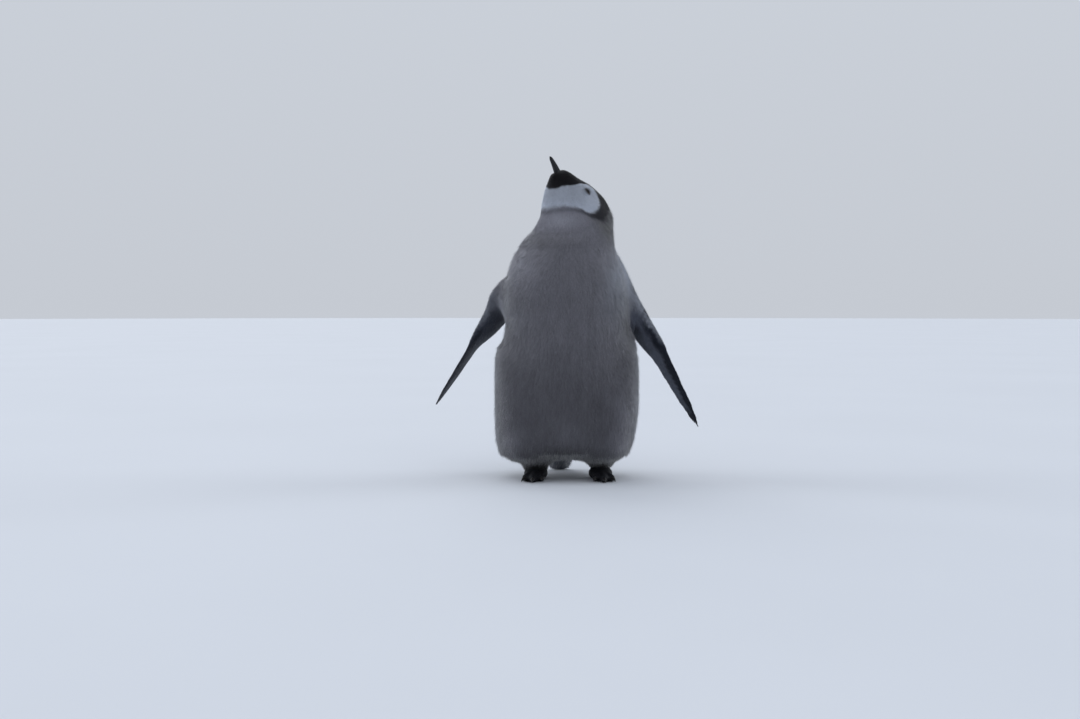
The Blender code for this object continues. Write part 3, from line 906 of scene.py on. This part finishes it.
def lieField():
    # which way the coat lies: back from the bill, down the body, out along the flippers
    points, owner = skin["outer"], skin["owner"]
    ahead = inHead(points)[:, 0]
    toNape = (ramp(ahead, -0.075, -0.02) * ramp(points[:, 2], 0.430, 0.475))[:, None]
    # on the breast and shoulders it also runs out from the neck
    outward = unit((points - nodeMiddle("neck")) * np.array((1, 1, 0))) * lieSettings["outward"]
    lie = np.array((0, 0, -1.0)) + outward * ramp(points[:, 2], 0.33, 0.38)[:, None]
    lie = lie * (1 - toNape) - headAxes[0] * toNape
    for side, mirror in sides.items():
        mask = isPart(owner, *flipperParts(side))
        across = flipperAims(side, inFlipper(side, points[mask])[0])[0]
        lie[mask] = unit(flipperSpan(side)) - across * lieSettings["trailing"]
        lie[isPart(owner, "thigh_" + side)] = np.array(lieSettings["thigh"]) * (mirror, 1, 1)
    # the tail's down fans out, and turns back where it nears the floor
    mask = isPart(owner, "tail")
    low = ramp(points[mask, 2], 0.035, 0.004)
    aside = (points[mask, 0] - nodeMiddle("tail")[0]) * lieSettings["tailFan"]
    lie[mask] = np.stack([aside, 0.45 + low * 0.7, -0.9 + low * 0.75], axis=1)
    lie = unit(lie - skin["normals"] * dot(lie, skin["normals"]))
    return unit(evened(lie, skin["edges"], lieSettings["rounds"]))


skin["lie"] = lieField()


lidSettings = {
    "halfLong": 5.8 * mm,       # half the opening, along the head and up it
    "halfTall": 2.4 * mm,
    "cornerSharp": 1.55,        # 2 is an oval, less draws the corners out
    "gap": 0.15 * mm,           # between the ball and the lids
    "thick": 0.85 * mm,
    "upperExtra": 0.35 * mm,    # the upper lid is thicker
    "edge": 1.25,               # how far round the ball the lids run on under the down, in radians
    "steps": 22,
    "around": 72,
    "foldHigh": 0.16 * mm,      # fine folds in the lids, and how soon they fade from the opening
    "foldWide": 0.62 * mm,
    "foldFade": 2.4 * mm,
    "rim": 0.8 * mm,            # bare dark margin
    "rimDark": 0.7,
    "parting": 22 * mm,         # how far from the eye's middle the down parts round it
}


def lieAt(lies, points, normals, swirls):
    # the lie with slow swirls, and parting round the eyes
    for size, share in swirls:
        lies = lies + np.stack([waves(points, size, 21 + k) for k in range(3)], axis=1) * share
    for side in sides:
        away, flat = fromEye(side, points)
        wide = np.maximum(np.linalg.norm(flat, axis=1)[:, None], lidSettings["halfLong"])
        near = np.linalg.norm(away, axis=1)[:, None] < lidSettings["parting"]
        aim = unit(flat)
        turned = 2 * dot(lies, aim) * aim - lies
        lies = lies - near * (lidSettings["halfLong"] / wide) ** 2 * turned
    return unit(lies - normals * dot(lies, normals)) + normals * 0.02


tuftSettings = {
    # share of the reach, height in coat depths and share of the width, from root to tip
    "steps": ((0.0, -0.05, 0.75), (0.42, 0.72, 1.0), (1.0, 1.0, 0.0)),
    "roll": 0.6,                # how far a tuft is turned about its length, in radians
    # the soft normals: their random lean, how round a tuft looks and how much they follow its length
    "lean": 0.20,
    "round": 0.45,
    "follow": 0.15,
}


def tuftArrays(roots, normals, lies, depth, reach, width, chance):
    # curved, tapered tufts; returns points, faces, share towards the tip and soft normals
    values = tuftSettings
    number = len(roots)
    across = unit(np.cross(lies, normals))
    roll = chance.uniform(-values["roll"], values["roll"], (number, 1))
    lean = chance.normal(0, values["lean"], (number, 3))
    across = across * np.cos(roll) + normals * np.sin(roll)
    rows = []
    tips = []
    outward = []
    for share, height, wide in values["steps"]:
        middle = roots + lies * (reach * share)[:, None] + normals * (depth * height)[:, None]
        for hand in ((-1, 1) if wide else (0,)):
            rows.append(middle + across * (width * wide * hand / 2)[:, None])
            tips.append(np.full(number, share))
            outward.append(unit(normals + across * hand * values["round"] + lies * values["follow"] + lean))
    each = len(rows)
    start = np.arange(number)[:, None] * each
    quads = [start + np.array((k, k + 1, k + 3, k + 2)) for k in range(0, each - 3, 2)]
    faceSets = [np.concatenate(quads), start + np.array((each - 3, each - 2, each - 1))]
    points, outward = [np.stack(part, axis=1).reshape(-1, 3) for part in (rows, outward)]
    return points, faceSets, np.stack(tips, axis=1).ravel(), outward, each


def sampleRoots(surface, faces, density, chance):
    # evenly scattered places on some of the surface's faces
    quads = surface["quads"][faces]
    area = np.linalg.norm(faceCross(surface["points"], quads), axis=1) / 2
    sums = np.cumsum(area * density)
    number = int(sums[-1])
    marks = (np.arange(number) + chance.uniform(0, 1, number)) / number * sums[-1]
    pick = np.minimum(np.searchsorted(sums, marks), len(faces) - 1)
    u, v = chance.uniform(0, 1, (2, number))
    weights = np.stack([(1 - u) * (1 - v), u * (1 - v), u * v, (1 - u) * v], axis=1)

    def read(values):
        rows = values.reshape(len(values), -1)[quads[pick]]
        return (rows * weights[:, :, None]).sum(1)

    return read, surface["owner"][quads[pick, 0]]


def clumped(ends, chance, share, group):
    # draws the tufts' ends together into small locks
    centres = chance.choice(len(ends), max(len(ends) // group, 1), replace=False)
    tree = KDTree(len(centres))
    for i, centre in enumerate(centres):
        tree.insert(ends[centre], i)
    tree.balance()
    nearest = np.array([tree.find(end)[1] for end in ends])
    return (ends[centres][nearest] - ends) * share


def unwrapAt(points, kind):
    # the skin laid out flat: round the body and up it, round the head and along it, or along a flipper
    if kind == "head":
        head = inHead(points)
        return np.stack([np.arctan2(head[:, 1], -head[:, 2]), head[:, 0]], axis=1)
    if kind in sides:
        along, across, inner = inFlipper(kind, points)
        return np.stack([np.arctan2(inner, across), along], axis=1)
    away = points - nodeMiddle("belly")
    return np.stack([np.arctan2(away[:, 0], -away[:, 1]), points[:, 2]], axis=1)


bakePatch = 0.003               # a tuft's size on its OFBake map


def addBakeMap(mesh, roots, kind, each, tips):
    # each tuft is one small patch at its root's place on the unwrapped skin
    flat = unwrapAt(roots, kind)
    low, high = flat.min(0), flat.max(0)
    flat = 0.01 + (flat - low) / np.maximum(high - low, 1e-6) * 0.98
    hand = np.resize(np.array((-0.5, 0.5)), each)
    hand[-1] = 0
    local = np.stack([np.tile(hand, len(roots)), tips - 0.5], axis=1) * bakePatch
    places = np.repeat(flat, each, axis=0) + local
    corner = np.empty(len(mesh.loops), np.int32)
    mesh.loops.foreach_get("vertex_index", corner)
    layer = mesh.uv_layers.new(name="OFBake")
    layer.data.foreach_set("uv", places[corner].astype(np.float32).ravel())


coatDefaults = {
    "lowest": 1 * mm,           # nothing is rooted lower than this
    "leastDepth": 0.8 * mm,
    "stray": 0.13,              # share of the tufts that stand out
    "tousle": 0.11,             # how much their lie varies
    "clump": 0.14,              # how far their ends are drawn together, and how many in each lock
    "group": 9,
    "swirls": ((60 * mm, 0.12), (13 * mm, 0.06)),       # size and strength of slow turns in the lie
    "clearing": 0.0,            # bare circle left for each eye, out to a reach from its middle
    "clearingReach": 20 * mm,
    "floorGap": 0.6 * mm,       # no tuft comes nearer to the floor
    # how much the tufts vary: least and greatest share, and the spread of their tone
    "heightSpread": (0.86, 1.06),
    "reachSpread": (0.75, 1.2),
    "straySpread": (1.08, 1.5),
    "widthSpread": (0.7, 1.25),
    "strayWidth": 0.6,
    "toneSpread": 0.07,
    "flatten": 0.85,            # how far the varied lie is laid back on the skin
}


def makeCoat(name, surface, faces, values, kind, material):
    values = {**coatDefaults, **values}
    chance = np.random.default_rng(values["seed"])
    read, owner = sampleRoots(surface, faces, values["density"], chance)
    roots = read(surface["points"])
    normals = unit(read(surface["normals"]))
    lies = lieAt(unit(read(surface["lie"])), roots, normals, values["swirls"])
    depth = np.maximum(read(surface["depth"])[:, 0], values["leastDepth"])
    keep = roots[:, 2] > values["lowest"]
    for side in sides:
        away, flat = [np.linalg.norm(part, axis=1) for part in fromEye(side, roots)]
        keep &= (flat > values["clearing"]) | (away > values["clearingReach"])
    roots, normals, depth, owner, lies = [rows[keep] for rows in (roots, normals, depth, owner, lies)]
    number = len(roots)
    height = depth * chance.uniform(*values["heightSpread"], number)
    reach = depth * values["reach"] * chance.uniform(*values["reachSpread"], number)
    stray = chance.uniform(0, 1, number) < values["stray"]
    height = np.where(stray, height * chance.uniform(*values["straySpread"], number), height)
    width = values["width"] * chance.uniform(*values["widthSpread"], number)
    width = np.where(stray, width * values["strayWidth"], width)
    lies = lies + chance.normal(0, values["tousle"], (number, 3))
    lies -= normals * dot(lies, normals) * values["flatten"]
    ends = roots + lies * reach[:, None] + normals * height[:, None]
    drift = clumped(ends, chance, values["clump"], values["group"])
    lies = lies + drift / np.maximum(reach, 1 * mm)[:, None]
    points, faceSets, tips, outward, each = tuftArrays(roots, normals, lies, height, reach, width, chance)
    points[:, 2] = np.maximum(points[:, 2], values["floorGap"])
    mesh = meshFromArrays(name, points, faceSets)
    marks = markingsAt(roots + normals * depth[:, None], owner)
    if "rimShade" in surface:
        marks["black"] = np.maximum(marks["black"], read(surface["rimShade"])[keep, 0])
    marks["tone"] = marks["tone"] * (1 + chance.normal(0, values["toneSpread"], number))
    addMarks(mesh, {**{key: np.repeat(row, each) for key, row in marks.items()}, "tip": tips})
    addBakeMap(mesh, roots, kind, each, tips)
    soft = mesh.attributes.new("custom_normal", "FLOAT_VECTOR", "POINT")
    soft.data.foreach_set("vector", outward.astype(np.float32).ravel())
    addPiece(name, mesh, downMaterials[material])
    print(name, number, "tufts,", sum(len(rows) * (rows.shape[1] - 2) for rows in faceSets), "triangles")


# how the down differs from place to place: tufts for each square metre, length in coat depths, width and more
bodyCoat = {"density": 1.12e6, "reach": 1.55, "width": 0.85 * mm}
neckCoat = {**bodyCoat, "density": 2.0e6, "width": 0.7 * mm}
tailCoat = {"density": 1.6e6, "reach": 2.1, "width": 0.75 * mm, "lowest": 5 * mm}
headCoat = {"density": 2.4e6, "reach": 1.2, "width": 0.55 * mm, "clump": 0.08, "stray": 0.03, "tousle": 0.10,
            "swirls": ((40 * mm, 0.08),), "clearing": 7.0 * mm}
armCoat = {"density": 1.5e6, "reach": 1.6, "width": 0.75 * mm}
bladeCoat = {"density": 1.6e6, "reach": 2.6, "width": 0.8 * mm, "clump": 0.05, "stray": 0.0, "tousle": 0.06,
             "leastDepth": 1.1 * mm}
lidCoat = {"density": 7e6, "reach": 1.3, "width": 0.34 * mm, "clump": 0.05, "tousle": 0.12,
           "leastDepth": 0.4 * mm}
# name, parts, front or back or both, unwrap, material, values
coatPieces = [(part + end, [part], half, "body", "body", bodyCoat)
              for part in ("chest", "belly") for end, half in (("_front", -1), ("_back", 1))]
coatPieces += [("flank_" + side, ["thigh_" + side], 0, "body", "body", bodyCoat) for side in sides]
coatPieces += [("neck", ["neck"], 0, "head", "body", neckCoat),
               ("tail", ["tail", "leg_left", "leg_right"], 0, "body", "body", tailCoat),
               ("head", ["head"], 0, "head", "head", headCoat)]
coatPieces += [(part + "_" + side, ["flipper_" + part + "_" + side], 0, side, "flipper", values)
               for part, values in (("arm", armCoat), ("blade", bladeCoat)) for side in sides]
firstSeed = 101
lidSeed = 120


def makeCoats():
    quads = skin["quads"]
    owner = skin["owner"][quads[:, 0]]
    behind = skin["points"][quads].mean(1)[:, 1] - nodeMiddle("chest")[1]
    for seed, (name, parts, half, unwrap, material, values) in enumerate(coatPieces, firstSeed):
        mask = isPart(owner, *parts)
        if half:
            mask &= behind * half > 0
        makeCoat("down_" + name, skin, np.flatnonzero(mask), {**values, "seed": seed}, unwrap, material)


# the skin itself

def skinMaterial():
    material, tree, shader = makeMaterial("birdSkin", Roughness=0.6, Specular_IOR_Level=0.15)
    grain = grainAt(tree, 900.0, 420.0, 0.7)
    horn = mixed(tree, (0.003, 0.003, 0.004), (0.014, 0.015, 0.019), grain["Mask"])
    feed(shader, "Base Color", mixed(tree, downColour(tree), horn, markAt(tree, "bare")))
    addBump(shader, grain["Height"], 0.5, 0.5 * mm)
    return material


def makeSkin():
    mesh = meshFromArrays("skin", skin["points"], [skin["quads"]])
    marks = markingsAt(skin["outer"], skin["owner"])
    marks["bare"] = evened(isPart(skin["owner"], "foot_left", "foot_right"), skin["edges"], 3)[:, 0]
    addMarks(mesh, marks)
    addPiece("skin", mesh, skinMaterial(), partNames)


makeSkin()
makeCoats()
print("skin and coat made")


# bill, eyes, lids and claws

def tubeMesh(name, rings, capped=True):
    # faces between equal rings of points, capped at both ends or joined last to first
    count, around = len(rings), len(rings[0])
    form = bmesh.new()
    made = [[form.verts.new(point) for point in ring] for ring in rings]
    for i in range(count - 1 if capped else count):
        near, far = made[i], made[(i + 1) % count]
        for k in range(around):
            ahead = (k + 1) % around
            form.faces.new((near[k], near[ahead], far[ahead], far[k]))
    if capped:
        form.faces.new(made[0][::-1])
        form.faces.new(made[-1])
    bmesh.ops.recalc_face_normals(form, faces=form.faces)
    mesh = meshFromForm(name, form)
    for face in mesh.polygons:
        face.use_smooth = len(face.vertices) == 4
    return mesh


billSettings = {
    # lengths in mm
    "seam": 65.3,               # where the bill leaves the feathers, ahead of the head's middle
    "hidden": 9.0,              # length that runs on under the feathers
    "reach": 34.0,
    "halfWidth": 5.9,
    "baseLow": 2.0,             # the base sits this much nearer the chin
    "hook": 2.6,                # droop of the tip
    "gape": 0.35,               # depth of the line between the halves
    "groove": 0.09,             # share of the width lost in the groove along each half
    "edge": 0.07,               # and where the halves meet
    "rings": 60,
    "around": 30,
    # each half: which way it lies, depth at the base, share of that lost by the tip, how flat its
    # sides are, ridge along its middle and how much shorter it is than the bill
    "upper": (1, 6.2, 0.58, 0.85, 0.07, 0.0),
    "lower": (-1, 5.3, 0.66, 0.7, 0.0, 1.6),
}


def billHalf(name, half):
    values = billSettings
    upward, base, thinning, flatness, ridgeHigh, shorter = values[half]
    reach = values["reach"] - shorter
    rings = []
    for i in range(values["rings"]):
        past = -values["hidden"] + (reach + values["hidden"]) * (i / (values["rings"] - 1)) ** 0.9
        share = max(past, 0) / reach
        tipRound = math.sqrt(max(1 - max((share - 0.84) / 0.16, 0) ** 2, 0.02))
        wide = values["halfWidth"] * (1 - 0.55 * share ** 1.1) * tipRound
        tall = base * (1 - thinning * share ** 1.1) * tipRound
        droop = values["hook"] * (max(past, 0) / values["reach"]) ** 2.4 + values["baseLow"] * (1 - share)
        ring = []
        for angle in [math.pi * k / (values["around"] - 1) for k in range(values["around"])]:
            side = math.cos(angle)
            rise = max(math.sin(angle), 0) ** flatness
            ridge = 1 + ridgeHigh * math.exp(-(side / 0.25) ** 2)
            groove = math.exp(-((rise - 0.5) / 0.12) ** 2) * (1 - share) * values["groove"]
            edge = math.exp(-(rise / 0.12) ** 2) * values["edge"]
            height = (rise * tall * ridge + values["gape"] / 2) * upward - droop
            place = (values["seam"] + past, wide * side * (1 - groove - edge), height)
            ring.append(fromHead(np.array(place) * mm))
        rings.append(ring)
    return tubeMesh(name, rings)


def hornMaterial(name, dark, light, roughness, scale):
    material, tree, shader = makeMaterial(name, Specular_IOR_Level=0.28)
    height = grainAt(tree, scale, scale * 1.7, 0.25)["Height"]
    feed(shader, "Base Color", mixed(tree, dark, light, height))
    feed(shader, "Roughness", remapped(tree, height, toRange=(roughness - 0.06, roughness + 0.14)))
    addBump(shader, height, 0.35, 0.3 * mm)
    return material


billHorn = hornMaterial("billHorn", (0.004, 0.004, 0.005), (0.014, 0.014, 0.018), 0.46, 700.0)
clawHorn = hornMaterial("clawHorn", (0.004, 0.004, 0.005), (0.026, 0.024, 0.024), 0.38, 900.0)


def makeBill():
    for name, half in (("bill_top", "upper"), ("bill_bottom", "lower")):
        addPiece(name, billHalf(name, half), billHorn, ["bill_" + half])


eyeSettings = {
    "radius": 9.0 * mm,
    "cornea": 0.5 * mm,         # how far the clear front stands out
    "pupil": 2.9 * mm,
    "iris": 5.6 * mm,
    # colours of the pupil, of the iris from dark to light and of the rim round it
    "pupilColour": (0.002, 0.002, 0.002),
    "irisDark": (0.008, 0.005, 0.004),
    "irisLight": (0.040, 0.021, 0.011),
    "rimColour": (0.006, 0.005, 0.005),
    "steps": 40,
    "around": 48,
}


def eyePoint(side, polar, angle, radius):
    # a place on a ball round the eye: polar from the way it looks, angle from the bill towards the crown
    axis, long, upward = eyeAims[side]
    flat = long * math.cos(angle) + upward * math.sin(angle)
    return eyeMiddles[side] + radius * (axis * math.cos(polar) + flat * math.sin(polar))


def corneaRise(polar):
    # how far the clear front stands out of the ball
    flat = eyeSettings["radius"] * math.sin(polar)
    return eyeSettings["cornea"] * math.exp(-(flat / eyeSettings["iris"]) ** 4) if polar < math.pi / 2 else 0


def makeEyeMesh(side):
    values = eyeSettings
    rings = [[eyePoint(side, polar, angle, values["radius"] + corneaRise(polar))
              for angle in anglesRound(values["around"])]
             for polar in [math.pi * i / values["steps"] for i in range(1, values["steps"])]]
    mesh = tubeMesh("eyeball_" + side, rings)
    away = np.array([v.co for v in mesh.vertices]) - eyeMiddles[side]
    outward = away @ eyeAims[side][0]
    flat = np.sqrt(np.maximum((away * away).sum(1) - outward * outward, 0))
    addMarks(mesh, {"spread": np.where(outward > 0, flat, 0.02) / mm})
    return mesh


def eyeMaterial():
    material, tree, shader = makeMaterial(
        "eyeBrown", Roughness=0.10, Coat_Weight=0.15, Coat_Roughness=0.03, Specular_IOR_Level=0.25)
    spread = markAt(tree, "spread")
    brown = mixed(tree, eyeSettings["irisDark"], eyeSettings["irisLight"], noiseAt(tree, 900.0, 3.0))
    result = eyeSettings["pupilColour"]
    # the iris round the pupil and the dark rim round the iris, with soft edges in mm
    for part, before, after, tone in (
            ("pupil", 0.3, 0.3, brown), ("iris", 0.8, 0.2, eyeSettings["rimColour"])):
        edge = eyeSettings[part] / mm
        mask = remapped(tree, spread, (edge - before, edge + after), way="SMOOTHSTEP")
        result = mixed(tree, result, tone, mask)
    feed(shader, "Base Color", result)
    return material


def lidRow(side, share, height):
    # one ring of lid points: share 0 at the opening, 1 where it ends under the down; height above the ball
    values = lidSettings
    ball = eyeSettings["radius"]
    row = []
    for angle in anglesRound(values["around"]):
        sharp = values["cornerSharp"]
        away = (abs(math.cos(angle)) / values["halfLong"]) ** sharp
        away += (abs(math.sin(angle)) / values["halfTall"]) ** sharp
        start = math.asin(away ** (-1 / sharp) / ball)
        polar = start + (values["edge"] - start) * share
        thick = values["thick"] + values["upperExtra"] * max(math.sin(angle), 0)
        arc = (polar - start) * ball
        fold = values["foldHigh"] * math.sin(arc / values["foldWide"]) * math.exp(-arc / values["foldFade"])
        radius = ball + corneaRise(polar) + values["gap"] + height * (thick + fold)
        row.append(eyePoint(side, polar, angle, radius))
    return row


def makeLids(side):
    # a solid ring of skin round the eye, and the surface its down grows on
    values = lidSettings
    around = values["around"]
    shares = np.linspace(0, 1, values["steps"]) ** 1.5
    over = [lidRow(side, share, 1.0) for share in shares]
    rim = [lidRow(side, 0.0, height) for height in (0.35, 0.75)]
    under = [lidRow(side, share, 0.0) for share in shares[::-3]]
    length = values["edge"] * eyeSettings["radius"] - values["halfLong"]
    mesh = tubeMesh("lids_" + side, rim + over[1:] + under, capped=False)
    points = np.array([v.co for v in mesh.vertices])
    reach = length * np.repeat(np.concatenate([np.zeros(2), shares[1:], shares[::-3]]), around)
    marks = markingsAt(points, np.full(len(points), partNames.index("head")))
    bare = values["rimDark"] * (1 - ramp(reach, values["rim"], values["rim"] * 2.2))
    marks["black"] = np.maximum(marks["black"], bare)
    addMarks(mesh, marks)
    addPiece("lids_" + side, mesh, downMaterials["head"])
    index = np.arange(len(over) * around).reshape(len(over), around)
    ahead = np.roll(index, -1, axis=1)
    quads = np.stack([index[:-1], ahead[:-1], ahead[1:], index[1:]], axis=-1).reshape(-1, 4)
    points = np.array(over).reshape(-1, 3)
    reach = length * np.repeat(shares, around)
    return {
        "points": points,
        "quads": quads,
        "normals": unit(points - eyeMiddles[side]),
        "depth": 0.5 * mm + 1.5 * mm * ramp(reach, values["rim"], 5 * mm),
        "owner": np.full(len(points), partNames.index("head")),
        "lie": np.tile(-headAxes[0], (len(points), 1)),
        "rimShade": values["rimDark"] * (1 - ramp(reach, values["rim"], values["rim"] * 2.4)),
        "quadReach": reach[quads].mean(1),
    }


def makeEyes():
    material = eyeMaterial()
    for side in sides:
        addPiece("eyeball_" + side, makeEyeMesh(side), material, ["eye_" + side])
        surface = makeLids(side)
        faces = np.flatnonzero(surface["quadReach"] > lidSettings["rim"])
        values = {**lidCoat, "seed": lidSeed + sides[side]}
        makeCoat("down_lid_" + side, surface, faces, values, "head", "head")


makeBill()
makeEyes()

clawSettings = {
    "arch": 0.16,               # how far its middle stands above its chord, as a share of its length
    "fullness": 0.72,           # below 1 the claw stays thick for longer
    "tipSize": 0.03,            # size of the tip as a share of the root's
    "ridge": 0.10,              # height of the ridge on top, and its width in radians
    "ridgeWide": 0.35,
    "sunk": 1.4 * mm,           # the root reaches into the toe
    "lowest": 0.3 * mm,         # no claw comes nearer to the floor
    "rootShare": 0.12,          # shares of the solid's length that give the root's middle and its size
    "sizeShare": 0.3,
    "rings": 26,
    "around": 24,
}


def makeClaw(name):
    # a curved, tapering claw between the middle of the solid's root and its tip
    values = clawSettings
    points = solidPoints(name)
    up = np.array((0, 0, 1))
    outward = unit((points.mean(0) - nodeMiddle("leg_" + name.rsplit("_", 1)[1])) * np.array((1, 1, 0)))
    along = points @ outward
    share = (along - along.min()) / (along.max() - along.min())
    root, tip = points[share < values["rootShare"]].mean(0), points[share.argmax()]
    root = root - unit(tip - root) * values["sunk"]
    aside = unit(np.cross(outward, up))
    near = points[share < values["sizeShare"]] - root
    wide = np.abs(near @ aside).max()
    tall = np.abs(near[:, 2]).max()
    length = np.linalg.norm(tip - root)
    rings = []
    for t in [i / (values["rings"] - 1) for i in range(values["rings"])]:
        middle = root + (tip - root) * t + up * length * values["arch"] * math.sin(math.pi * t)
        size = max(1 - t, 0.0) ** values["fullness"] * (1 - values["tipSize"]) + values["tipSize"]
        ring = []
        for angle in anglesRound(values["around"]):
            ridge = 1 + values["ridge"] * math.exp(-((angle - math.pi / 2) / values["ridgeWide"]) ** 2)
            place = middle + aside * wide * size * math.cos(angle)
            place = place + up * tall * size * ridge * math.sin(angle)
            ring.append((*place[:2], max(place[2], values["lowest"])))
        rings.append(ring)
    addPiece(name.replace("claw", "talon"), tubeMesh(name, rings), clawHorn, [name])


for name in [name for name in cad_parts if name.startswith("claw_")]:
    makeClaw(name)
print("bill, eyes, lids and claws made")
